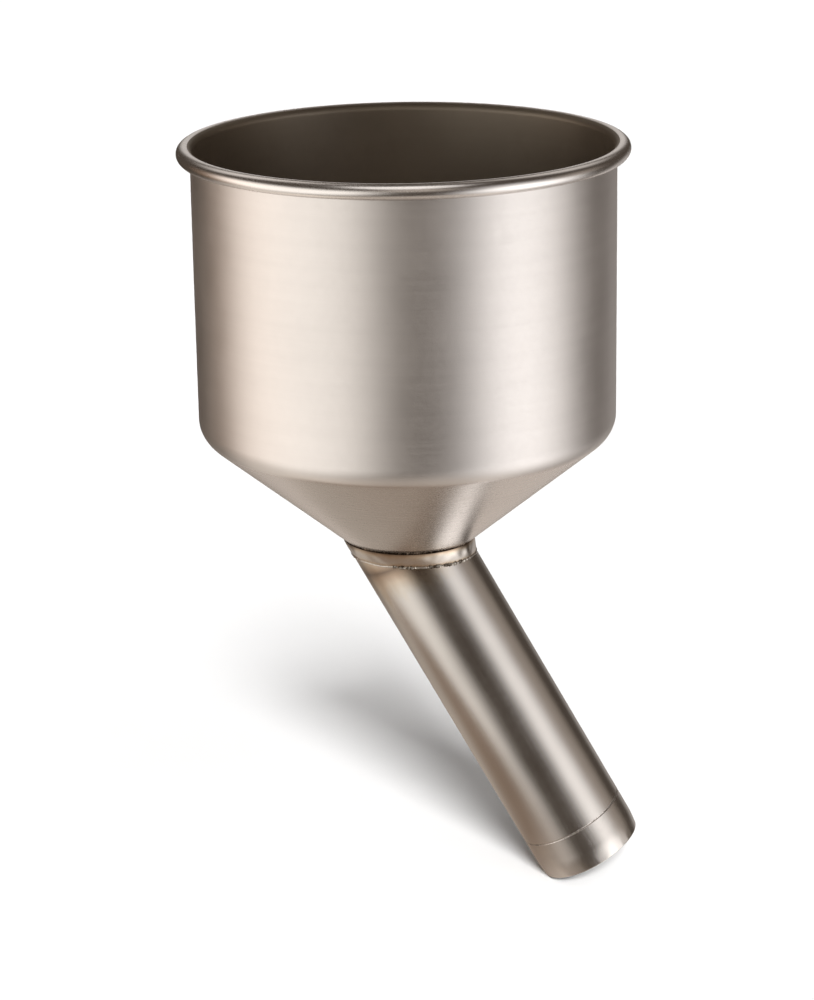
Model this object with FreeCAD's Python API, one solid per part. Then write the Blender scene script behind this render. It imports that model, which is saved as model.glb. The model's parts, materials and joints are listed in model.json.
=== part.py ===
"""Stainless steel canning funnel: a spun bowl with a wired rim, and a round spout welded on at a slant.

Millimetres, +Z up. The origin is the centre of the spout's outlet. The bowl's axis is vertical, and the spout
leans in the XZ plane, so that its outlet lies on the +X side of the bowl. Every piece is made of stainless
steel, and each run of weld metal is a node of its own.
"""

import FreeCAD
import Part
import math
import os

V = FreeCAD.Vector

# Bowl
SHEET = 1.0                  # thickness of the bowl's sheet
BOWL_BORE_R = 95.0           # inner radius of the bowl's wall
WALL_HEIGHT = 122.8          # straight wall, from the middle of the rim bead down to the shoulder
SHOULDER_R = 12.3            # outer radius of the bend between wall and cone
CONE_SLOPE = 39.3            # slope of the cone, in degrees above the horizontal
CONE_MOUTH_R = 31.8          # outer radius of the cone's lower edge
BEAD_R = 3.65                # outer radius of the rolled rim bead
BEAD_WRAP = 126.0            # how far the sheet wraps past the outermost point of the bead, in degrees
WIRE_CLEARANCE = 0.1         # between the rim wire and the sheet that wraps it

# Spout
SPOUT_R = 25.4               # outer radius of the spout's tube
TUBE_WALL = 1.65             # wall of the tube, of the collar and of the outlet ring
SPOUT_TILT = 28.7            # lean of the spout, in degrees from the vertical
SPOUT_LENGTH = 182.9         # along the spout's axis, from the plane of the cone's mouth to the outlet
SPOUT_OFFSET = 2.9           # how far the spout's axis passes from the bowl's axis in that plane

# Neck
NECK_GAP = 1.3               # height of the sunk weld between cone and collar
NECK_WELD_R = 30.2           # outer radius of the sunk weld
NECK_ROOT = 0.9              # how far the root of that weld stands into the neck
COLLAR_TOP_R = 30.9          # outer radius of the collar's round top
COLLAR_HEIGHT = 7.9          # from the sunk weld down to the top of the tube
COLLAR_BULGE = 0.8           # how far the middle of the collar swells past a straight side
SPOUT_WELD_R = 1.1           # radius of the weld bead between collar and tube

# Outlet
RING_LENGTH = 20.2           # from the outlet up to the middle of the seam above the outlet ring
RING_TAPER_LENGTH = 9.0      # length of the drawn-in end of the ring
RING_TAPER = 0.6             # how much the ring's radius shrinks over that end
LIP_R = 0.5                  # radius of the outlet's outer edge
SEAM_WIDTH = 1.0             # width of the seam above the outlet ring
SEAM_DEPTH = 0.3             # how far the seam lies under the tube's surface

# Places that follow from the driving dimensions
tilt = math.radians(SPOUT_TILT)
slope = math.radians(CONE_SLOPE)
neck_z = SPOUT_LENGTH * math.cos(tilt)
bowl_x = SPOUT_OFFSET - SPOUT_LENGTH * math.sin(tilt)
collar_top_z = neck_z - NECK_GAP
collar_foot_z = collar_top_z - COLLAR_HEIGHT
spout_bore_r = SPOUT_R - TUBE_WALL

wall_r = BOWL_BORE_R + SHEET
bend_r = wall_r - SHOULDER_R
cone_bore_r = CONE_MOUTH_R - SHEET / math.sin(slope)
cone_start_r = bend_r + SHOULDER_R * math.sin(slope)
cone_rise = (cone_start_r - CONE_MOUTH_R) * math.tan(slope)
bend_z = neck_z + cone_rise + SHOULDER_R * math.cos(slope)
rim_z = bend_z + WALL_HEIGHT
bead_r = BOWL_BORE_R + BEAD_R


def bowl_point(radius, z):
    """A point in the half-plane through the bowl's axis."""
    return V(bowl_x + radius, 0, z)


def line(a, b):
    return Part.LineSegment(a, b).toShape()


def arc(centre_r, centre_z, radius, start, end):
    """An arc in the half-plane through the bowl's axis, between two angles in degrees."""
    points = []
    for degrees in (start, (start + end) / 2, end):
        a = math.radians(degrees)
        points.append(bowl_point(centre_r + radius * math.cos(a), centre_z + radius * math.sin(a)))
    return Part.Arc(*points).toShape()


def first_point(edge):
    return edge.valueAt(edge.FirstParameter)


def last_point(edge):
    return edge.valueAt(edge.LastParameter)


def revolved(edges, centre):
    """The solid made by turning a closed outline round a vertical axis."""
    outline = Part.Wire(Part.__sortEdges__(edges))
    return Part.Face(outline).revolve(centre, V(0, 0, 1), 360)


def bowl_shell():
    """The spun bowl: cone, shoulder and wall, with the edge rolled outwards round the rim wire."""
    foot = CONE_SLOPE - 90
    curl_end = -BEAD_WRAP
    hollow_r = BEAD_R - SHEET
    inner_bend = arc(bend_r, bend_z, SHOULDER_R - SHEET, foot, 0)
    outer_bend = arc(bend_r, bend_z, SHOULDER_R, 0, foot)
    outer_curl = arc(bead_r, rim_z, BEAD_R, 0, curl_end)
    inner_curl = arc(bead_r, rim_z, hollow_r, curl_end, 0)
    edges = [
        line(bowl_point(cone_bore_r, neck_z), first_point(inner_bend)),
        inner_bend,
        line(last_point(inner_bend), bowl_point(BOWL_BORE_R, rim_z)),
        arc(bead_r, rim_z, BEAD_R, 180, 0),
        outer_curl,
        line(last_point(outer_curl), first_point(inner_curl)),
        inner_curl,
        arc(bead_r, rim_z, hollow_r, 0, 180),
        line(bowl_point(wall_r, rim_z), first_point(outer_bend)),
        outer_bend,
        line(last_point(outer_bend), bowl_point(CONE_MOUTH_R, neck_z)),
        line(bowl_point(CONE_MOUTH_R, neck_z), bowl_point(cone_bore_r, neck_z)),
    ]
    return revolved(edges, bowl_point(0, 0))


def rim_wire():
    """The wire ring inside the rolled rim."""
    wire_r = BEAD_R - SHEET - WIRE_CLEARANCE
    return Part.makeTorus(bead_r, wire_r, bowl_point(0, rim_z), V(0, 0, 1))


def neck_weld():
    """The sunk weld between cone and collar, whose rounded root shows inside the neck."""
    root = bowl_point(cone_bore_r - NECK_ROOT, (neck_z + collar_top_z) / 2)
    top_in = bowl_point(cone_bore_r, neck_z)
    top_out = bowl_point(NECK_WELD_R, neck_z)
    foot_in = bowl_point(cone_bore_r, collar_top_z)
    foot_out = bowl_point(NECK_WELD_R, collar_top_z)
    edges = [
        line(foot_in, foot_out),
        line(foot_out, top_out),
        line(top_out, top_in),
        Part.Arc(top_in, root, foot_in).toShape(),
    ]
    return revolved(edges, bowl_point(0, 0))


def spout_x(z):
    """Where the spout's axis is at a height."""
    return -math.tan(tilt) * z


def level_ellipse(centre_x, z, along_x, along_y):
    """A level ellipse as a closed wire. Its longer axis is the X one."""
    return Part.Wire(Part.Ellipse(V(centre_x, 0, z), along_x, along_y).toShape())


def collar_skin(inset):
    """A loft from the collar's round top to the level cut of the tube, shrunk by a wall's thickness."""
    top_r = COLLAR_TOP_R - inset
    foot_y_r = SPOUT_R - inset
    foot_x_r = foot_y_r / math.cos(tilt)
    foot_x = spout_x(collar_foot_z)
    top = Part.Wire(Part.makeCircle(top_r, bowl_point(0, collar_top_z)))
    middle = level_ellipse(
        (bowl_x + foot_x) / 2,
        (collar_top_z + collar_foot_z) / 2,
        (top_r + foot_x_r) / 2 + COLLAR_BULGE,
        (top_r + foot_y_r) / 2 + COLLAR_BULGE,
    )
    foot = level_ellipse(foot_x, collar_foot_z, foot_x_r, foot_y_r)
    return Part.makeLoft([top, middle, foot], True, False)


def neck_collar():
    """The short collar that leads from the cone's round mouth to the level cut of the slanted tube."""
    return collar_skin(0).cut(collar_skin(TUBE_WALL))


def slanted(shape):
    """A shape that was made on the Z axis, turned onto the spout's axis."""
    return shape.rotate(V(0, 0, 0), V(0, 1, 0), -SPOUT_TILT)


def spout_pipe(radius, start, end):
    """A straight pipe on the spout's axis with the spout's bore, between two distances from the outlet."""
    outer = Part.makeCylinder(radius, end - start, V(0, 0, start))
    bore = Part.makeCylinder(spout_bore_r, end - start, V(0, 0, start))
    return slanted(outer.cut(bore))


def below_collar(shape):
    """What of a shape lies lower than the collar's foot."""
    reach = SPOUT_LENGTH
    corner = V(spout_x(collar_foot_z) - reach, -reach, collar_foot_z)
    return shape.cut(Part.makeBox(2 * reach, 2 * reach, reach, corner))


def spout_tube():
    """The slanted tube, cut level under the collar and square above the outlet ring."""
    return below_collar(spout_pipe(SPOUT_R, RING_LENGTH + SEAM_WIDTH / 2, SPOUT_LENGTH + SPOUT_R))


def spout_weld():
    """The raised weld bead round the top of the tube, under the collar."""
    foot_x_r = SPOUT_R / math.cos(tilt)
    foot_x = spout_x(collar_foot_z)
    path = level_ellipse(foot_x, collar_foot_z, foot_x_r, SPOUT_R)
    section = Part.Wire(Part.makeCircle(SPOUT_WELD_R, V(foot_x + foot_x_r, 0, collar_foot_z), V(0, 1, 0)))
    bead = path.makePipeShell([section], True, True)
    core = Part.makeCylinder(SPOUT_R, SPOUT_LENGTH + SPOUT_R)
    return bead.cut(below_collar(slanted(core))).cut(collar_skin(0))


def outlet_seam():
    """The thin sunk seam between the tube and the outlet ring."""
    return spout_pipe(SPOUT_R - SEAM_DEPTH, RING_LENGTH - SEAM_WIDTH / 2, RING_LENGTH + SEAM_WIDTH / 2)


def outlet_ring():
    """The ring at the spout's outlet. Its end is drawn in a little, and its outer edge is rounded."""
    top = RING_LENGTH - SEAM_WIDTH / 2
    end_r = SPOUT_R - RING_TAPER
    lip_turn = math.radians(45)
    lip_start = V(end_r - LIP_R, 0, 0)
    lip_middle = V(end_r - LIP_R + LIP_R * math.sin(lip_turn), 0, LIP_R - LIP_R * math.cos(lip_turn))
    lip_end = V(end_r, 0, LIP_R)
    taper_end = V(SPOUT_R, 0, RING_TAPER_LENGTH)
    edges = [
        line(V(spout_bore_r, 0, 0), lip_start),
        Part.Arc(lip_start, lip_middle, lip_end).toShape(),
        line(lip_end, taper_end),
        line(taper_end, V(SPOUT_R, 0, top)),
        line(V(SPOUT_R, 0, top), V(spout_bore_r, 0, top)),
        line(V(spout_bore_r, 0, top), V(spout_bore_r, 0, 0)),
    ]
    return slanted(revolved(edges, V(0, 0, 0)))


PARTS = {
    "bowl_shell": bowl_shell,
    "rim_wire": rim_wire,
    "neck_weld": neck_weld,
    "neck_collar": neck_collar,
    "spout_weld": spout_weld,
    "spout_tube": spout_tube,
    "outlet_seam": outlet_seam,
    "outlet_ring": outlet_ring,
}


def main():
    os.makedirs("parts", exist_ok=True)
    for name, build in PARTS.items():
        shape = build()
        print(name, "solids", len(shape.Solids), "valid", shape.isValid(), "cm3", round(shape.Volume / 1000, 2))
        shape.exportStep(f"parts/{name}.step")
    print("bowl axis x", round(bowl_x, 3), "neck z", round(neck_z, 3), "rim z", round(rim_z, 3))
    print("bend z", round(bend_z, 3), "collar top z", round(collar_top_z, 3), "foot z", round(collar_foot_z, 3))


main()
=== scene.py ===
"""The looks of the canning funnel: worn satin stainless steel, with rough welds under the bowl.

Metres, in the frame of the CAD model. The bowl's axis is vertical. The spout leans in the XZ plane, and its
outlet is at the origin.
"""

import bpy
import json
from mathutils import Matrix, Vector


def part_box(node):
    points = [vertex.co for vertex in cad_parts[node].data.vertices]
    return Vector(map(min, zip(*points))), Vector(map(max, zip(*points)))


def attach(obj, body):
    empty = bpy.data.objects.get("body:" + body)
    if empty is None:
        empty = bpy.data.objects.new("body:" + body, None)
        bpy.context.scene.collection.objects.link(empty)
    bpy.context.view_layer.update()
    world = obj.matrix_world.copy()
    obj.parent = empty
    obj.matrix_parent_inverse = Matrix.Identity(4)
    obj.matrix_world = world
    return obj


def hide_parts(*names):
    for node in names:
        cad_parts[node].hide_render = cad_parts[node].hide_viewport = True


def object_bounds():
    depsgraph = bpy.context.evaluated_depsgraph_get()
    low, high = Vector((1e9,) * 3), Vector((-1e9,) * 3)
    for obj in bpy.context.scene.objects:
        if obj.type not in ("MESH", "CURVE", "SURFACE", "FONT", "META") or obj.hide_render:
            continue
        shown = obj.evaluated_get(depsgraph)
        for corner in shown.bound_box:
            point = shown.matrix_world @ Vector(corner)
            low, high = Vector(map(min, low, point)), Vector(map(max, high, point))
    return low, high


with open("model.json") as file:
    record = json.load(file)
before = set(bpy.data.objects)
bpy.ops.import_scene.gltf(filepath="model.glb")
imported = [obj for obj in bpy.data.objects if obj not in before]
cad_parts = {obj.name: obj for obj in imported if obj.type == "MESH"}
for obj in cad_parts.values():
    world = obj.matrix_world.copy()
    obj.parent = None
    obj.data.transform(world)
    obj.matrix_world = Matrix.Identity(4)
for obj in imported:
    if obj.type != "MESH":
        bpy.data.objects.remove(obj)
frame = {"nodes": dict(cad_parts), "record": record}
cad_box = [list(corner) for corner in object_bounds()]

import json
import math

import bpy
import numpy as np
from mathutils import Matrix, Vector

MM = 0.001
TURN = 2 * math.pi

# Sizes from the frame
mounts = {mount["name"]: mount for mount in frame["record"]["mounts"]}
mouth = mounts["bowl_mouth"]
bore = mounts["spout_bore"]
bowl_x = mouth["pos_m"][0]
rim_z = mouth["pos_m"][2]
bowl_bore_r = mouth["dims"]["r_mm"] * MM
bend_z = rim_z - mouth["dims"]["length_mm"] * MM
bead_outer_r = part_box("bowl_shell")[1].z - rim_z
neck_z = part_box("bowl_shell")[0].z
collar_foot_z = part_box("neck_collar")[0].z
collar_top_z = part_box("neck_collar")[1].z
spout_bore_r = bore["dims"]["r_mm"] * MM
spout_r = mounts["spout_outlet"]["dims"]["r_mm"] * MM
tilt = math.atan2(bore["axis"][0], -bore["axis"][2])
floor_z = cad_box[0][2]

# Sizes that the frame doesn't state
SHEET = 1.0 * MM
SHOULDER_R = 12.3 * MM
CONE_SLOPE = math.radians(39.3)
CONE_MOUTH_R = 31.8 * MM
BEAD_WRAP = 126
COLLAR_TOP_R = 30.9 * MM
COLLAR_BULGE = 1.28 * MM      # how far the collar's wall stands out from a straight one
COLLAR_FLAT = 0.75 * MM       # how far it is pushed in at the top on the spout's side
NECK_WELD_R = 30.2 * MM
NECK_ROOT = 0.9 * MM
SPOUT_WELD_R = 1.1 * MM
SEAM_AT = 20.2 * MM
SEAM_WIDTH = 1.0 * MM
SEAM_DEPTH = 0.3 * MM
SEAM_GROOVE_R = 0.8 * MM
SEAM_GROOVE_OUT = 0.6 * MM    # how far outside the tube the centre of the groove's arc is
RING_TAPER_LENGTH = 9.0 * MM
RING_TAPER = 0.6 * MM
LIP_R = 0.5 * MM
INSET = 0.05 * MM             # how far the rim stays inside the CAD model's, and the floor lies below it

SAME_POINT = 1e-7             # points closer than this are one
SHARP_EDGE = math.radians(50)
BUMP_DEPTH = 0.00003          # of the steel's scratches

# Dents in the wall: angle from the front in degrees, drop below the rim, width and depth in millimetres
DENTS = (
    (-34.0, 17.0, 2.2, 0.10),
    (-27.5, 57.0, 2.6, 0.12),
    (25.5, 21.0, 2.4, 0.10),
    (118.0, 74.0, 3.4, 0.18),
    (-141.0, 40.0, 2.8, 0.14),
    (171.0, 96.0, 4.2, 0.20),
)

# Rough stretches of the spout's weld: angle from the front and half length, in degrees
ROUGH_STRETCHES = ((33, 24), (-9, 13), (140, 26), (-128, 40))

# The steel's tones, as shares of its base colour
DARK_TONE = 0.95
LIGHT_TONE = 1.04
STAINED_TONE = 0.62

# How much of the tone comes from the scratches, and from the rings on a spun piece
SCRATCH_SHARE = 0.15
RING_SHARE = 0.2

# How far scratches, clouds and specks move the roughness either way
SCRATCH_WEAR = 0.018
CLOUD_WEAR = 0.015
SPECK_WEAR = 0.01

# Heat colours, and painted crevice shade, beside a weld by share of its reach. They multiply the base colour
HEAT_AND_SHADE_COLOURS = (
    (0.0, (0.34, 0.27, 0.22, 1)),
    (0.15, (0.62, 0.50, 0.40, 1)),
    (0.4, (0.90, 0.80, 0.68, 1)),
    (0.7, (0.98, 0.95, 0.90, 1)),
    (1.0, (1, 1, 1, 1)),
)

# Soft round lights that the steel reflects. In degrees: azimuth from the front to the right and elevation of
# the centre, radius of the bright middle and of the whole, and the elevation that the light is cut off at.
# Then its radiance and colour
LIGHTS = (
    (-60, -1, 30, 59, 16, 1.36, (1.0, 0.97, 0.92)),
    (-97, -8, 10, 40, 18, 0.22, (1.0, 0.55, 0.28)),
    (66, -22, 10, 46, 2, 1.66, (1.0, 0.99, 0.98)),
    (57, 8, 5, 32, 60, 0.70, (1.0, 0.98, 0.97)),
    (95, 8, 6, 28, 40, 0.26, (1.0, 0.88, 0.77)),
    (101, -50, 10, 34, 10, 0.56, (1.0, 0.96, 0.92)),
    (-114, -56, 10, 34, 10, 0.74, (1.0, 0.92, 0.82)),
    (152, -20, 6, 24, 2, 0.42, (1.0, 0.95, 0.92)),
    (180, -50, 12, 38, 10, 0.60, (1.0, 0.89, 0.80)),
    (180, 14, 6, 20, 60, 0.62, (1.0, 0.96, 0.92)),
    (-142, 47, 8, 26, 110, 0.82, (1.0, 0.95, 0.90)),
    (146, 46, 8, 25, 110, 0.65, (1.0, 0.95, 0.90)),
    (0, -82, 22, 42, 10, 0.44, (1.0, 0.89, 0.78)),
    (6, 24, 8, 27, 60, 0.45, (1.0, 0.90, 0.80)),
    (0, 67, 14, 27, 110, 1.30, (1.0, 0.97, 0.94)),
)
CUT_BLUR = 16.0               # how softly they are cut off, in degrees
ROOM = (0.075, 0.060, 0.048)  # the dim room round them

# Soft lights on the floor: name, azimuth, elevation and spread in degrees, strength and colour
SUNS = (
    ("key", 8, 30, 18, 5.70, (1, 1, 1)),
    ("wide", 24, 33, 44, 0.60, (1.0, 0.97, 0.95)),
    ("right", 66, 46, 56, 0.40, (1.0, 0.97, 0.95)),
    ("back", 150, 46, 64, 0.32, (1.0, 0.97, 0.95)),
    ("halo", 0, 80, 110, 0.12, (1.0, 0.97, 0.95)),
)

# Round cards, in metres: the floor, the shade on it, and the flag above the bowl
FLOOR_R = 12.0
SHADE_R = 0.20
SHADE_AT = (-0.125, 0.045)
SHADE_TURNS = (-0.06, 0.02)   # distances behind its centre between which the shade's tone turns paler
SHADE_FADES = (0.085, 0.165)  # distances from its centre between which it fades out
SHADE_BROWN = (0.29, 0.217, 0.165, 1)
SHADE_PALE = (0.46, 0.40, 0.34, 1)
FLAG_R = 0.10
FLAG_BACK = 0.085             # how far its centre is behind the bowl's axis
FLAG_ABOVE_RIM = 0.12

# The camera
CAMERA_ASIDE = -0.79 * MM
CAMERA_BELOW_RIM = 165.6 * MM
CAMERA_DISTANCE = 1.4727
CAMERA_RISE = math.radians(17.09)
CAMERA_ROLL = math.radians(-0.87)
CAMERA_LENS = 114.05

bead_r = bead_outer_r - INSET
bead_centre_r = bowl_bore_r + bead_outer_r
wall_r = bowl_bore_r + SHEET
bend_centre_r = wall_r - SHOULDER_R
tube_wall = spout_r - spout_bore_r
middle = Vector((bowl_x, 0, (rim_z + floor_z) / 2))


# ---------------------------------------------------------------- meshes

def ripples(seed, count, turns, heights, power=1.0):
    """A smooth random function of an angle and a height. It closes after a turn.

    Its root mean square is about 0.7. turns and heights are the ranges of its waves per turn and per metre.
    With more power, the long waves are larger than the short ones.
    """
    rng = np.random.default_rng(seed)
    waves = []
    for _ in range(count):
        around = int(rng.integers(turns[0], turns[1] + 1))
        upward = rng.uniform(heights[0], heights[1]) * rng.choice((-1, 1))
        size = 1 / (1 + around) ** (power - 1)
        waves.append((around, upward, rng.uniform(0, TURN), size))
    total = math.sqrt(sum(wave[3] ** 2 for wave in waves))

    def value(angle, height):
        out = 0
        for around, upward, phase, size in waves:
            out = out + size * np.sin(around * angle + TURN * upward * height + phase)
        return out / total

    return value


def arc_points(centre_r, centre_z, radius, start, end, steps):
    """Points of an arc in the (radius, height) plane, between two angles in degrees, ends included."""
    angles = np.radians(np.linspace(start, end, steps + 1))
    return np.column_stack((centre_r + radius * np.cos(angles), centre_z + radius * np.sin(angles)))


def line_points(a, b, steps):
    """Points of a straight run, both ends included."""
    share = np.linspace(0, 1, steps + 1)[:, None]
    return np.asarray(a) * (1 - share) + np.asarray(b) * share


def joined(*runs):
    """One closed outline from several runs, with no point twice."""
    points = np.vstack(runs)
    gaps = np.linalg.norm(points - np.roll(points, 1, axis=0), axis=1)
    return points[gaps > SAME_POINT]


def angles_of(columns):
    """Angles round the axis. The first is at the back, so that no seam faces the front."""
    return np.linspace(0, TURN, columns, endpoint=False) + TURN / 4


def ring_solid(name, rows, place, inside=None):
    """A closed solid from rows of points that close both ways.

    inside holds one mark for each row, or one for each face. Marked faces take the second material.
    """
    turn = np.array(place.to_3x3())
    count, columns = rows.shape[:2]
    index = np.arange(count * columns).reshape(count, columns)
    along = np.roll(index, -1, axis=0)
    faces = np.stack((index, np.roll(index, -1, axis=1), np.roll(along, -1, axis=1), along), axis=-1)
    mesh = bpy.data.meshes.new(name)
    mesh.from_pydata((rows.reshape(-1, 3) @ turn.T).tolist(), [], faces.reshape(-1, 4).tolist())
    if inside is not None:
        marks = np.asarray(inside, dtype=np.int32).reshape(count, -1)
        mesh.polygons.foreach_set("material_index", np.broadcast_to(marks, (count, columns)).ravel())
    volume = signed_volume(rows.reshape(-1, 3), faces.reshape(-1, 4))
    if volume < 0:
        mesh.flip_normals()
    mesh.shade_smooth()
    mesh.set_sharp_from_angle(angle=SHARP_EDGE)
    mesh.update()
    piece = bpy.data.objects.new(name, mesh)
    bpy.context.scene.collection.objects.link(piece)
    piece.location = place.translation
    return piece


def signed_volume(points, quads):
    """The volume inside quads, which is negative if they face inwards."""
    a, b, c, d = (points[quads[:, k]] for k in range(4))
    return float((np.cross(a, b) * c).sum() + (np.cross(a, c) * d).sum()) / 6


def lathe(outline, columns, shift):
    """Rows of points from an outline in the (radius, height) plane, moved by shift(angle, radius, height)."""
    angle = angles_of(columns)[None, :]
    radius = np.repeat(outline[:, :1], columns, axis=1)
    height = np.repeat(outline[:, 1:], columns, axis=1)
    radius, height = shift(angle, radius, height)
    return np.stack((radius * np.cos(angle), radius * np.sin(angle), height), axis=-1)


on_bowl_axis = Matrix.Translation((bowl_x, 0, 0))
on_spout_axis = Matrix.Rotation(-tilt, 4, "Y")


def dent(angle, height, at_angle, at_height, width, depth):
    """A small round dent in the bowl's wall. Angles are in degrees from the front, to the right."""
    away = np.angle(np.exp(1j * (angle + TURN / 4 - math.radians(at_angle)))) * wall_r
    reach = (away ** 2 + (height - at_height) ** 2) / width ** 2
    return -depth * np.exp(-reach)


def bowl():
    """The spun bowl. Its wall is a little out of true, with rings from the spinning tool and a few dents."""
    foot = math.degrees(CONE_SLOPE) - 90
    mouth_in = (CONE_MOUTH_R - SHEET / math.sin(CONE_SLOPE), neck_z)
    mouth_out = (CONE_MOUTH_R, neck_z)
    bend_in = arc_points(bend_centre_r, bend_z, SHOULDER_R - SHEET, foot, 0, 14)
    bend_out = arc_points(bend_centre_r, bend_z, SHOULDER_R, 0, foot, 14)
    hollow_r = bead_r - SHEET
    curl_out = arc_points(bead_centre_r, rim_z, bead_r, 180, -BEAD_WRAP, 56)
    curl_in = arc_points(bead_centre_r, rim_z, hollow_r, -BEAD_WRAP, 180, 40)
    inner = (line_points(mouth_in, bend_in[0], 26), bend_in, line_points(bend_in[-1], curl_out[0], 50))
    outer = (line_points(curl_in[-1], bend_out[0], 50), bend_out, line_points(bend_out[-1], mouth_out, 26))
    outline = joined(*inner, curl_out, curl_in, *outer)
    # The inside's rougher steel, darkened as painted shade, ends a little before the rim's highest point
    rim_row = int(np.argmax(outline[:, 1]))
    inside = np.arange(len(outline)) < rim_row - 4

    sway = ripples(11, 9, (2, 7), (0, 9), power=1.6)
    buckle = ripples(12, 16, (5, 26), (4, 26))
    ring_marks = ripples(13, 12, (0, 2), (130, 260))
    sway_size, buckle_size, ring_size = 0.05 * MM, 0.006 * MM, 0.004 * MM
    normal_r, normal_z = 0.63, 0.77    # of the cone's face, which dents and waves move along

    def shift(angle, radius, height):
        below_rim = np.clip((rim_z - bead_r * 1.5 - height) / (15 * MM), 0, 1)
        above_neck = np.clip((height - neck_z) / (12 * MM), 0, 1)
        spinning = np.exp(-((height - bend_z - 12 * MM) / (16 * MM)) ** 2)
        spinning = spinning + 0.5 * np.exp(-((height - bend_z - 62 * MM) / (9 * MM)) ** 2)
        out = sway_size * sway(angle, height)
        out = out + buckle_size * buckle(angle, height)
        out = out + ring_size * ring_marks(angle, height) * spinning
        for at_angle, drop, width, depth in DENTS:
            out = out + dent(angle, height, at_angle, rim_z - drop * MM, width * MM, depth * MM)
        out = out * below_rim * above_neck
        on_cone = np.clip((bend_z - height) / SHOULDER_R, 0, 1)
        return radius + out * (1 - on_cone * (1 - normal_r)), height - out * on_cone * normal_z

    return ring_solid("bowl", lathe(outline, columns=420, shift=shift), on_bowl_axis, inside)


def neck_weld():
    """The sunk weld between cone and collar. Its root shows inside the neck as a row of ripples."""
    root_r = CONE_MOUTH_R - SHEET / math.sin(CONE_SLOPE)
    middle = (neck_z + collar_top_z) / 2
    half = (neck_z - collar_top_z) / 2
    outer = line_points((NECK_WELD_R, -half), (NECK_WELD_R, half), 4)
    root = np.column_stack((
        root_r - NECK_ROOT * np.cos(np.linspace(math.pi / 2, -math.pi / 2, 9)),
        half * np.sin(np.linspace(math.pi / 2, -math.pi / 2, 9)),
    ))
    outline = joined(outer, root)
    scallops = ripples(21, 10, (110, 170), (0, 0))
    uneven = ripples(22, 10, (3, 19), (0, 0))
    scallop_size, uneven_size, sunk = 0.16 * MM, 0.12 * MM, 0.15 * MM

    def shift(angle, radius, height):
        share = np.clip((root_r - radius) / NECK_ROOT, 0, 1)
        wave = scallop_size * scallops(angle, 0) + uneven_size * uneven(angle, 0)
        face = np.clip((radius - root_r) / (NECK_WELD_R - root_r), 0, 1)
        return radius + wave * share + (wave - sunk) * face, height

    place = Matrix.Translation((bowl_x, 0, middle))
    return ring_solid("neck_weld_bead", lathe(outline, columns=720, shift=shift), place)


def spout_x(z):
    """Where the spout's axis is at a height."""
    return -math.tan(tilt) * z


def collar():
    """The collar, hammered by hand from a round top to the level cut of the slanted tube.

    It is flatter near its top on the spout's side.
    """
    columns = 256
    angle = angles_of(columns)
    foot_x = spout_x(collar_foot_z)
    height = collar_top_z - collar_foot_z
    hammered = ripples(31, 22, (4, 30), (20, 110))
    hammer_depth = 0.11 * MM

    def skin(inset, steps, downward):
        shares = np.linspace(0, 1, steps + 1)
        rows = []
        for share in shares if downward else shares[::-1]:
            bulge = COLLAR_BULGE * share * (1 - share)
            top_r = (COLLAR_TOP_R - inset) * (1 - share)
            foot_r = spout_r - inset
            along_x = top_r + foot_r / math.cos(tilt) * share + bulge
            along_y = top_r + foot_r * share + bulge
            mark = hammer_depth * hammered(angle, share * height) * 4 * share * (1 - share)
            mark = mark - COLLAR_FLAT * np.clip(np.cos(angle), 0, 1) ** 2 * (1 - share)
            centre = bowl_x * (1 - share) + foot_x * share
            rows.append(np.column_stack((
                centre - bowl_x + (along_x + mark) * np.cos(angle),
                (along_y + mark) * np.sin(angle),
                np.full(columns, (0.5 - share) * height),
            )))
        return rows

    rows = np.stack(skin(0, 14, True) + skin(tube_wall, 10, False))
    place = Matrix.Translation((bowl_x, 0, (collar_top_z + collar_foot_z) / 2))
    return ring_solid("collar", rows, place)


def spout_weld():
    """The bead that joins collar and tube: ground nearly flush, but for rough stretches of lumps and pits."""
    columns = 1100
    around = 18
    angle = angles_of(columns)
    foot_x = spout_x(collar_foot_z)
    path = np.column_stack((spout_r / math.cos(tilt) * np.cos(angle), spout_r * np.sin(angle)))
    out = np.column_stack((np.cos(angle) * spout_r, np.sin(angle) * spout_r / math.cos(tilt)))
    out = out / np.linalg.norm(out, axis=1)[:, None]
    scallops = ripples(41, 7, (128, 146), (0, 0))
    lumps = ripples(42, 16, (20, 70), (0, 0))
    wander = ripples(43, 9, (3, 17), (0, 0))
    pits = ripples(44, 26, (60, 240), (0, 0))
    rough = np.zeros(columns)
    for at_angle, half in ROUGH_STRETCHES:
        away = np.angle(np.exp(1j * (angle + TURN / 4 - math.radians(at_angle))))
        rough = np.maximum(rough, np.clip(1.5 * (1 - (away / math.radians(half)) ** 2), 0, 1))
    rows = []
    for step in range(around):
        turn = TURN * step / around
        size = 0.13 * scallops(angle + 0.006 * math.sin(turn), 0) + 0.24 * lumps(angle, 0)
        size = size + 0.10 * pits(angle, 0) * math.cos(turn * 2)
        size = np.clip(0.50 + 0.24 * rough + size * (0.25 + 0.75 * rough), 0.38, 1.0) * SPOUT_WELD_R
        reach = size * math.cos(turn) * 0.85
        lift = size * math.sin(turn) + (0.10 + 0.25 * rough) * MM * wander(angle, 0)
        rows.append(np.column_stack((path + out * reach[:, None], lift)))
    place = Matrix.Translation((foot_x, 0, collar_foot_z))
    ground = (rough + 0.25 * lumps(angle, 0) < 0.35)[None, :].repeat(around, axis=0)
    return ring_solid("spout_weld_bead", np.stack(rows), place, ground)


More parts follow.
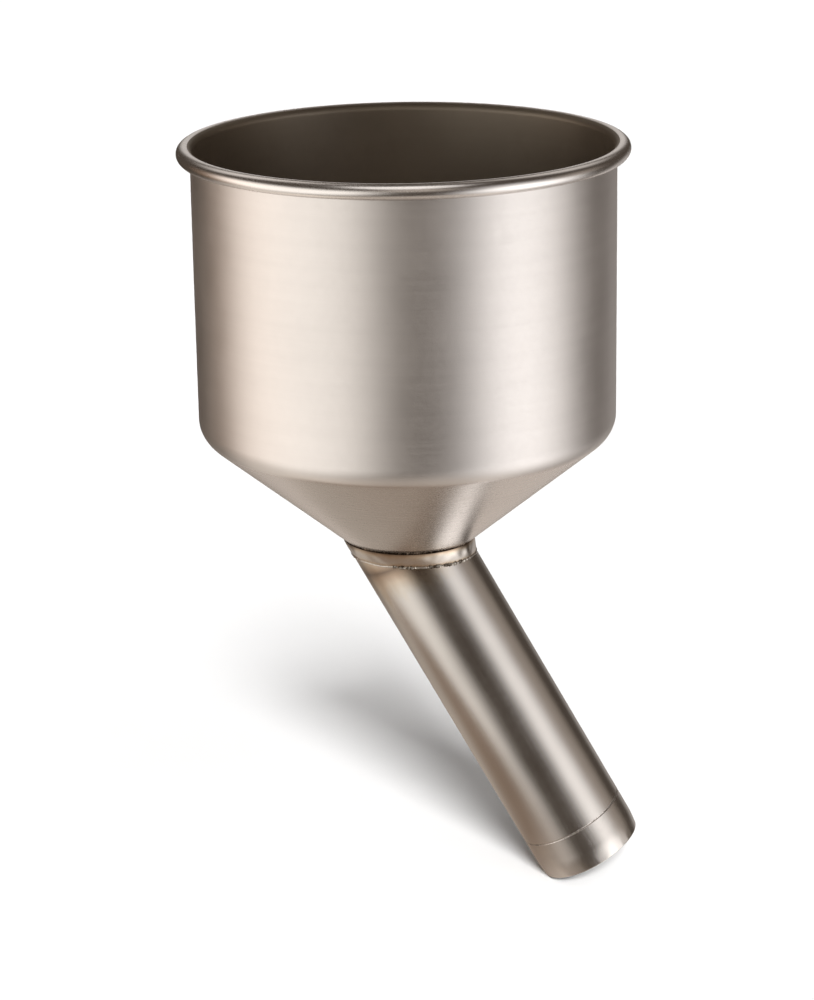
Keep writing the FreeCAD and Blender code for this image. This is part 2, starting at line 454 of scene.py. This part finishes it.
def tube():
    """The slanted tube, cut level at its top. It is very slightly out of round."""
    columns = 256
    angle = angles_of(columns)
    start = SEAM_AT + SEAM_WIDTH / 2
    rows = []
    oval = ripples(51, 8, (2, 5), (1, 8), power=1.5)
    dings = ripples(52, 14, (4, 16), (6, 30))
    oval_size, ding_size, most = 0.04 * MM, 0.005 * MM, 0.1 * MM
    outer_steps = 90
    for radius, steps, upward in ((spout_r, outer_steps, True), (spout_bore_r, 60, False)):
        top = (collar_foot_z - radius * np.cos(angle) * math.sin(tilt)) / math.cos(tilt)
        shares = np.linspace(0, 1, steps + 1)
        for share in shares if upward else shares[::-1]:
            height = start + (top - start) * share
            ease = min(1.0, share * 8, (1 - share) * 8)
            bent = radius + ease * (oval_size * oval(angle, height) + ding_size * dings(angle, height))
            bent = np.minimum(bent, radius + most)
            rows.append(np.column_stack((bent * np.cos(angle), bent * np.sin(angle), height)))
    inside = np.arange(len(rows)) > outer_steps + 1
    return ring_solid("tube", np.stack(rows), on_spout_axis, inside)


def seam():
    """The thin sunk seam above the outlet ring."""
    low = SEAM_AT - SEAM_WIDTH / 2
    high = SEAM_AT + SEAM_WIDTH / 2
    floor_r = spout_r - SEAM_DEPTH
    edge_r = spout_r - 0.02 * MM
    outline = joined(
        line_points((spout_bore_r, low), (edge_r, low), 3),
        arc_points(spout_r + SEAM_GROOVE_OUT, SEAM_AT, SEAM_GROOVE_R, 218, 142, 8),
        line_points((edge_r, high), (spout_bore_r, high), 3),
    )
    uneven = ripples(61, 12, (5, 40), (0, 0))
    uneven_size = 0.07 * MM

    def shift(angle, radius, height):
        share = np.clip((radius - floor_r) / SEAM_DEPTH + 0.2, 0, 1)
        share = share * (1 - np.abs(height - SEAM_AT) / SEAM_WIDTH)
        return radius - uneven_size * np.abs(uneven(angle, 0)) * share, height

    return ring_solid("tip_seam", lathe(outline, columns=512, shift=shift), on_spout_axis)


def outlet_ring():
    """The ring at the outlet, drawn in towards its end, with a rounded and slightly worn edge."""
    top = SEAM_AT - SEAM_WIDTH / 2
    end_r = spout_r - RING_TAPER
    lip = arc_points(end_r - LIP_R, LIP_R, LIP_R, 270, 360, 6)
    taper_share = np.linspace(0, 1, 15)
    taper = np.column_stack((
        end_r + RING_TAPER * np.sin(taper_share * math.pi / 2),
        LIP_R + (RING_TAPER_LENGTH - LIP_R) * taper_share,
    ))
    outline = joined(
        line_points((spout_bore_r, 0), lip[0], 2),
        lip,
        taper,
        line_points(taper[-1], (spout_r, top), 12),
        line_points((spout_r, top), (spout_bore_r, top), 2),
        line_points((spout_bore_r, top), (spout_bore_r, 0), 12),
    )
    worn = ripples(71, 14, (3, 22), (10, 60))
    wear_depth = 0.06 * MM

    def shift(angle, radius, height):
        near_end = np.clip(1 - height / RING_TAPER_LENGTH, 0, 1)
        return radius - wear_depth * near_end * np.abs(worn(angle, height)), height

    return ring_solid("outlet_ring_shell", lathe(outline, columns=320, shift=shift), on_spout_axis)


# ---------------------------------------------------------------- materials

def add(tree, kind, **settings):
    """A shader node. Settings are its own properties, or its inputs, such as in_0 or in_Vector."""
    made = tree.nodes.new(kind)
    for key, value in settings.items():
        if key.startswith("in_"):
            name = key[3:]
            socket = made.inputs[int(name)] if name.isdigit() else made.inputs[name.replace("_", " ")]
            if isinstance(value, bpy.types.NodeSocket):
                tree.links.new(value, socket)
            else:
                socket.default_value = value
        else:
            setattr(made, key, value)
    return made


def noise_of(tree, place, scale, detail=3.0, rough=0.55):
    """Noise over a stretched copy of the coordinates, from 0 to 1."""
    stretched = add(tree, "ShaderNodeVectorMath", operation="MULTIPLY", in_0=place, in_1=scale)
    made = add(tree, "ShaderNodeTexNoise", in_Vector=stretched.outputs[0], in_Scale=1.0)
    made.inputs["Detail"].default_value = detail
    made.inputs["Roughness"].default_value = rough
    return made.outputs["Fac"]


def ranged(tree, value, low, high, to_low, to_high):
    """A value moved from one range to another, and kept inside it."""
    made = add(tree, "ShaderNodeMapRange", in_0=value, in_1=low, in_2=high, in_3=to_low, in_4=to_high)
    return made.outputs[0]


def eased(tree, value, low, high, to_low, to_high):
    """The same, with a soft start and end."""
    made = add(tree, "ShaderNodeMapRange", interpolation_type="SMOOTHSTEP")
    for socket, given in zip(made.inputs, (value, low, high, to_low, to_high)):
        if isinstance(given, bpy.types.NodeSocket):
            tree.links.new(given, socket)
        else:
            socket.default_value = given
    return made.outputs[0]


def plus(tree, a, b):
    return add(tree, "ShaderNodeMath", operation="ADD", in_0=a, in_1=b).outputs[0]


def times(tree, a, b):
    return add(tree, "ShaderNodeMath", operation="MULTIPLY", in_0=a, in_1=b).outputs[0]


def mixed(tree, share, a, b):
    """Two colours mixed."""
    made = add(tree, "ShaderNodeMix", data_type="RGBA")
    for socket, value in ((made.inputs[0], share), (made.inputs[6], a), (made.inputs[7], b)):
        if isinstance(value, bpy.types.NodeSocket):
            tree.links.new(value, socket)
        else:
            socket.default_value = value
    return made.outputs[2]


def steel(name, colour, rough, grain, aniso=0.0, tints=(), dirt=0.0, lean=0.0, polished=(), relief=0.035):
    """Satin stainless steel.

    colour is its base colour, and rough its mean roughness. grain is how the fine scratches are stretched,
    as waves per metre along x, y and z. With aniso, the steel is spun: it shines along rings round its axis.
    tints lists the heights of welds and how far their heat colours reach; at a crevice the same colours paint
    shade. dirt is how much a stain covers the steel. lean is the tilt of the piece's own axis. polished lists
    smoother zones, as the heights where they begin and are full, and the change in roughness. relief is the
    strength of the bump.
    """
    material = bpy.data.materials.new(name)
    material.use_nodes = True
    tree = material.node_tree
    shader = tree.nodes["Principled BSDF"]
    place = add(tree, "ShaderNodeTexCoord").outputs["Object"]
    if lean:
        upright = add(tree, "ShaderNodeVectorRotate", rotation_type="Y_AXIS", in_Vector=place, in_Angle=lean)
        place = upright.outputs[0]

    scratches = noise_of(tree, place, grain, 4.0, 0.6)
    clouds = noise_of(tree, place, (28, 28, 22), 3.0)
    specks = noise_of(tree, place, (420, 420, 420), 2.0)

    dark = tuple(c * DARK_TONE for c in colour) + (1,)
    light = tuple(min(c * LIGHT_TONE, 1) for c in colour) + (1,)
    tone = plus(tree, times(tree, clouds, 1 - SCRATCH_SHARE), times(tree, scratches, SCRATCH_SHARE))
    if aniso:
        rings = noise_of(tree, place, (2.5, 2.5, 220), 3.0)
        tone = plus(tree, times(tree, tone, 1 - RING_SHARE), times(tree, rings, RING_SHARE))
    base = mixed(tree, ranged(tree, tone, 0.36, 0.64, 0, 1), dark, light)
    if dirt:
        stains = ranged(tree, noise_of(tree, place, (75, 75, 60), 5.0, 0.65), 0.56, 0.74, 0, dirt)
        base = mixed(tree, stains, base, tuple(c * STAINED_TONE for c in colour) + (1,))
    for tint in tints:
        base = heat_and_shade_tint(tree, place, base, *tint)
    tree.links.new(base, shader.inputs["Base Color"])

    wear = plus(
        tree,
        ranged(tree, scratches, 0.3, 0.7, -SCRATCH_WEAR, SCRATCH_WEAR),
        ranged(tree, clouds, 0.3, 0.7, -CLOUD_WEAR, CLOUD_WEAR),
    )
    wear = plus(tree, wear, ranged(tree, specks, 0.35, 0.65, -SPECK_WEAR, SPECK_WEAR))
    height = add(tree, "ShaderNodeSeparateXYZ", in_0=place).outputs[2]
    for begin, full, change in polished:
        wear = plus(tree, wear, eased(tree, height, begin, full, 0, change))
    tree.links.new(plus(tree, wear, rough), shader.inputs["Roughness"])

    bump = add(tree, "ShaderNodeBump", in_Height=plus(tree, scratches, times(tree, specks, 0.3)))
    bump.inputs["Strength"].default_value = relief
    bump.inputs["Distance"].default_value = BUMP_DEPTH
    tree.links.new(bump.outputs[0], shader.inputs["Normal"])

    shader.inputs["Metallic"].default_value = 1.0
    if aniso:
        shader.inputs["Anisotropic"].default_value = aniso
        shader.inputs["Anisotropic Rotation"].default_value = 0.25
        tangent = add(tree, "ShaderNodeTangent", direction_type="RADIAL", axis="Z")
        tree.links.new(tangent.outputs[0], shader.inputs["Tangent"])
    return material


def heat_and_shade_tint(tree, place, base, height, reach):
    """Brown and straw heat colours beside a weld at a height of the piece's own z axis. At a crevice they
    paint its shade too.
    """
    z = add(tree, "ShaderNodeSeparateXYZ", in_0=place).outputs[2]
    away = add(tree, "ShaderNodeMath", operation="SUBTRACT", in_0=z, in_1=height).outputs[0]
    away = add(tree, "ShaderNodeMath", operation="ABSOLUTE", in_0=away).outputs[0]
    ragged = ranged(tree, noise_of(tree, place, (90, 90, 30), 3.0), 0.25, 0.75, 0.45, 1.5)
    share = add(tree, "ShaderNodeMath", operation="DIVIDE", in_0=away, in_1=reach)
    share = times(tree, share.outputs[0], ragged)
    ramp = add(tree, "ShaderNodeValToRGB", in_0=share)
    stops = ramp.color_ramp.elements
    stops[0].color = HEAT_AND_SHADE_COLOURS[0][1]
    stops[1].color = HEAT_AND_SHADE_COLOURS[-1][1]
    for position, tone in HEAT_AND_SHADE_COLOURS[1:-1]:
        stops.new(position).color = tone
    tinted = add(tree, "ShaderNodeMix", data_type="RGBA", blend_type="MULTIPLY")
    tinted.inputs[0].default_value = 1.0
    tree.links.new(base, tinted.inputs[6])
    tree.links.new(ramp.outputs[0], tinted.inputs[7])
    return tinted.outputs[2]


def weld_metal(name, dark, light):
    """The rough metal of a weld or seam: a dark oxide with brighter spots."""
    material = bpy.data.materials.new(name)
    material.use_nodes = True
    tree = material.node_tree
    shader = tree.nodes["Principled BSDF"]
    place = add(tree, "ShaderNodeTexCoord").outputs["Object"]
    blotches = noise_of(tree, place, (520, 520, 520), 3.0, 0.6)
    broad = noise_of(tree, place, (70, 70, 70), 2.0)
    share = ranged(tree, plus(tree, blotches, times(tree, broad, 0.8)), 0.78, 1.02, 0, 1)
    base = mixed(tree, share, dark + (1,), light + (1,))
    tree.links.new(base, shader.inputs["Base Color"])
    tree.links.new(ranged(tree, share, 0, 1, 0.62, 0.22), shader.inputs["Roughness"])
    bump = add(tree, "ShaderNodeBump", in_Height=noise_of(tree, place, (1500, 1500, 1500), 3.0, 0.6))
    bump.inputs["Strength"].default_value = 0.5
    bump.inputs["Distance"].default_value = 0.0002
    tree.links.new(bump.outputs[0], shader.inputs["Normal"])
    shader.inputs["Metallic"].default_value = 1.0
    return material


# ---------------------------------------------------------------- stage

def floor_material():
    """Pale matt paper, with the faintest mottle."""
    material = bpy.data.materials.new("pale_paper")
    material.use_nodes = True
    tree = material.node_tree
    shader = tree.nodes["Principled BSDF"]
    place = add(tree, "ShaderNodeTexCoord").outputs["Object"]
    mottle = noise_of(tree, place, (9, 9, 9), 3.0)
    paper = mixed(tree, mottle, (0.86, 0.86, 0.86, 1), (0.9, 0.9, 0.9, 1))
    tree.links.new(paper, shader.inputs["Base Color"])
    shader.inputs["Roughness"].default_value = 1.0
    shader.inputs["Specular IOR Level"].default_value = 0.0
    return material


def card(name, radius, place, material):
    """A flat, level, round card."""
    mesh = bpy.data.meshes.new(name)
    corners = 96
    angle = np.linspace(0, TURN, corners, endpoint=False)
    points = np.column_stack((radius * np.cos(angle), radius * np.sin(angle), np.zeros(corners)))
    mesh.from_pydata(points.tolist(), [], [list(range(corners))])
    mesh.materials.append(material)
    made = bpy.data.objects.new(name, mesh)
    made.location = place
    bpy.context.scene.collection.objects.link(made)
    return made


def only_reflected(made):
    """Leaves a card to be seen in reflections alone."""
    made.visible_camera = False
    made.visible_diffuse = False
    made.visible_shadow = False


def shade_material():
    """A painted reflection of the spout's shadow on the floor, for the steel alone: brown, paler at the back,
    and clear further out.
    """
    material = bpy.data.materials.new("floor_shade")
    material.use_nodes = True
    tree = material.node_tree
    tree.nodes.remove(tree.nodes["Principled BSDF"])
    place = add(tree, "ShaderNodeTexCoord").outputs["Object"]
    away = add(tree, "ShaderNodeVectorMath", operation="LENGTH", in_0=place).outputs["Value"]
    depth = add(tree, "ShaderNodeSeparateXYZ", in_0=place).outputs[1]
    tone = mixed(tree, eased(tree, depth, *SHADE_TURNS, 0, 1), SHADE_BROWN, SHADE_PALE)
    brown = add(tree, "ShaderNodeEmission", in_Color=tone, in_Strength=1.0)
    clear = add(tree, "ShaderNodeBsdfTransparent")
    share = eased(tree, away, *SHADE_FADES, 0, 1)
    blend = add(tree, "ShaderNodeMixShader", in_0=share, in_1=brown.outputs[0], in_2=clear.outputs[0])
    tree.links.new(blend.outputs[0], tree.nodes["Material Output"].inputs[0])
    return material


def flag_material():
    """As dim as the room. Its card, above the back of the bowl, keeps the top light off the back rim."""
    material = bpy.data.materials.new("flag_card")
    material.use_nodes = True
    tree = material.node_tree
    tree.nodes.remove(tree.nodes["Principled BSDF"])
    dim = add(tree, "ShaderNodeEmission", in_Color=ROOM + (1,), in_Strength=1.0)
    tree.links.new(dim.outputs[0], tree.nodes["Material Output"].inputs[0])
    return material


def pointed_at(target, place):
    """The turn that points an object's -Z axis from a place to a target."""
    return (Vector(target) - Vector(place)).to_track_quat("-Z", "Y").to_euler()


def heading(azimuth, elevation):
    """The direction of an azimuth and elevation in degrees."""
    a, e = math.radians(azimuth), math.radians(elevation)
    return Vector((math.sin(a) * math.cos(e), -math.cos(a) * math.cos(e), math.sin(e)))


def white_room():
    """White surroundings for the camera. The steel sees a dim room with soft round lights in it."""
    world = bpy.data.worlds.new("white_room")
    world.use_nodes = True
    world.cycles_visibility.diffuse = False    # the floor is lit by the suns alone
    tree = world.node_tree
    direction = add(tree, "ShaderNodeTexCoord").outputs["Generated"]
    total = add(tree, "ShaderNodeCombineXYZ", in_0=ROOM[0], in_1=ROOM[1], in_2=ROOM[2]).outputs[0]
    height = add(tree, "ShaderNodeSeparateXYZ", in_0=direction).outputs[2]
    rise = add(tree, "ShaderNodeMath", operation="ARCSINE", in_0=height).outputs[0]
    for azimuth, elevation, core, edge, cut, radiance, colour in LIGHTS:
        centre = heading(azimuth, elevation)
        facing = add(tree, "ShaderNodeVectorMath", operation="DOT_PRODUCT", in_0=direction, in_1=centre)
        away = add(tree, "ShaderNodeMath", operation="ARCCOSINE", in_0=facing.outputs["Value"]).outputs[0]
        share = eased(tree, away, math.radians(core), math.radians(edge), 1, 0)
        shutter = eased(tree, rise, math.radians(cut - CUT_BLUR), math.radians(cut + CUT_BLUR), 1, 0)
        share = times(tree, share, shutter)
        tone = add(tree, "ShaderNodeVectorMath", operation="SCALE", in_0=[c * radiance for c in colour])
        tree.links.new(share, tone.inputs["Scale"])
        joined_up = add(tree, "ShaderNodeVectorMath", operation="ADD", in_0=total, in_1=tone.outputs[0])
        total = joined_up.outputs[0]
    room = tree.nodes["Background"]
    tree.links.new(total, room.inputs["Color"])
    white = add(tree, "ShaderNodeBackground", in_0=(1, 1, 1, 1))
    seen = add(tree, "ShaderNodeLightPath").outputs["Is Camera Ray"]
    blend = add(tree, "ShaderNodeMixShader", in_0=seen, in_1=room.outputs[0], in_2=white.outputs[0])
    tree.links.new(blend.outputs[0], tree.nodes["World Output"].inputs[0])
    bpy.context.scene.world = world


def sun(casters, name, azimuth, elevation, spread, strength, colour):
    """A soft light that isn't reflected, from a direction in degrees. Only the casters shade it."""
    lamp = bpy.data.lights.new(name, "SUN")
    lamp.angle = math.radians(spread)
    lamp.energy = strength
    lamp.color = colour
    made = bpy.data.objects.new(name, lamp)
    made.location = middle + heading(azimuth, elevation) * 2
    made.rotation_euler = pointed_at(middle, made.location)
    made.visible_glossy = False
    bpy.context.scene.collection.objects.link(made)
    group = bpy.data.collections.new(name + "_casters")
    for caster in casters:
        group.objects.link(caster)
    made.light_linking.blocker_collection = group


def stage(spout):
    """Pale floor, white surroundings, soft lights. The pieces of the spout shade the floor."""
    floor = card("floor", FLOOR_R, (bowl_x, 0, floor_z - INSET), floor_material())
    floor.visible_glossy = False
    only_reflected(card("floor_shade", SHADE_R, (*SHADE_AT, floor_z - INSET * 0.5), shade_material()))
    white_room()
    only_reflected(card("flag", FLAG_R, (bowl_x, FLAG_BACK, rim_z + FLAG_ABOVE_RIM), flag_material()))
    for light in SUNS:
        sun(spout, *light)
    bpy.context.scene.view_settings.view_transform = "Standard"


def camera():
    """The camera, a little above the rim and far away, tipped slightly to one side."""
    aim = Vector((bowl_x + CAMERA_ASIDE, 0, rim_z - CAMERA_BELOW_RIM))
    back = Vector((0, -math.cos(CAMERA_RISE), math.sin(CAMERA_RISE)))
    up = Vector((0, math.sin(CAMERA_RISE), math.cos(CAMERA_RISE)))
    right = Vector((1, 0, 0))
    turned_right = right * math.cos(CAMERA_ROLL) + up * math.sin(CAMERA_ROLL)
    turned_up = up * math.cos(CAMERA_ROLL) - right * math.sin(CAMERA_ROLL)
    data = bpy.data.cameras.new("camera")
    data.lens = CAMERA_LENS
    data.clip_end = 60
    made = bpy.data.objects.new("camera", data)
    turn = Matrix((turned_right, turned_up, back)).transposed().to_4x4()
    made.matrix_world = Matrix.Translation(aim + back * CAMERA_DISTANCE) @ turn
    bpy.context.scene.collection.objects.link(made)
    bpy.context.scene.camera = made


# ---------------------------------------------------------------- the funnel

smoother_zones = (
    (rim_z - bead_r * 1.3, rim_z - bead_r, -0.18),
    (bend_z - 4 * MM, bend_z - 10 * MM, -0.17),
)
spout_heat = ((176 * MM, 16 * MM),)
# The collar's foot tint is heat colour from the spout weld. Its top tint is painted shade in the crevice
# under the cone, together with heat colour from the neck weld.
collar_heat_and_crevice_shade = ((-4 * MM, 2.5 * MM), (4 * MM, 3.2 * MM))
round_brushing = (26, 26, 1700)
round_brushing_inside = (26, 26, 1500)
long_grinding = (900, 900, 30)

bowl_outside = steel(
    "bowl_satin", (0.74, 0.705, 0.685), 0.44, round_brushing, aniso=0.3, polished=smoother_zones, relief=0.015
)
# The inside is a darker, browner copy of the outside's steel: painted shade in the bowl. Its roughness and
# stains are the steel's own.
bowl_inside_painted_shade = steel(
    "bowl_inner_painted_shade_satin", (0.39, 0.335, 0.275), 0.50, round_brushing_inside, aniso=0.3, dirt=0.15
)
spout_outside = steel(
    "spout_satin", (0.70, 0.665, 0.635), 0.24, long_grinding, tints=spout_heat, lean=tilt, relief=0.015
)
# The tube's inside is a darker copy of its steel: painted shade in the bore. Its roughness and stains are the
# steel's own.
spout_inside_painted_shade = steel("spout_inner_painted_shade_satin", (0.40, 0.36, 0.32), 0.42, (300, 300, 60), dirt=0.2, lean=tilt)
ring_steel = steel(
    "ring_satin", (0.69, 0.655, 0.625), 0.24, long_grinding, dirt=0.2, lean=tilt, relief=0.015
)
collar_steel = steel("collar_satin", (0.72, 0.675, 0.63), 0.20, (160, 160, 160), tints=collar_heat_and_crevice_shade)
wire_steel = steel("drawn_wire", (0.55, 0.53, 0.50), 0.34, (90, 90, 2200))
weld_steel = weld_metal("weld_oxide", (0.10, 0.075, 0.055), (0.66, 0.62, 0.56))
ground_weld_steel = steel("ground_weld", (0.60, 0.55, 0.50), 0.30, (260, 260, 260), dirt=0.4, relief=0.3)
sunk_weld_steel = weld_metal("sunk_weld_oxide", (0.045, 0.03, 0.02), (0.16, 0.12, 0.09))
seam_steel = weld_metal("seam_oxide", (0.36, 0.325, 0.29), (0.64, 0.60, 0.57))

PIECES = (
    (bowl, "bowl_shell", "bowl_steel", (bowl_outside, bowl_inside_painted_shade)),
    (neck_weld, "neck_weld", "weld_metal", (sunk_weld_steel,)),
    (collar, "neck_collar", "collar_steel", (collar_steel,)),
    (spout_weld, "spout_weld", "weld_metal", (weld_steel, ground_weld_steel)),
    (tube, "spout_tube", "spout_steel", (spout_outside, spout_inside_painted_shade)),
    (seam, "outlet_seam", "weld_metal", (seam_steel,)),
    (outlet_ring, "outlet_ring", "spout_steel", (ring_steel,)),
)

made_pieces = {}
for make, node, slot, materials in PIECES:
    piece = make()
    made_pieces[node] = piece
    for material in materials:
        piece.data.materials.append(material)
    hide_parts(node)
    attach(piece, "root")

wire = frame["nodes"]["rim_wire"]
wire.data.materials.clear()
wire.data.materials.append(wire_steel)

stage([piece for node, piece in made_pieces.items() if node != "bowl_shell"])
camera()
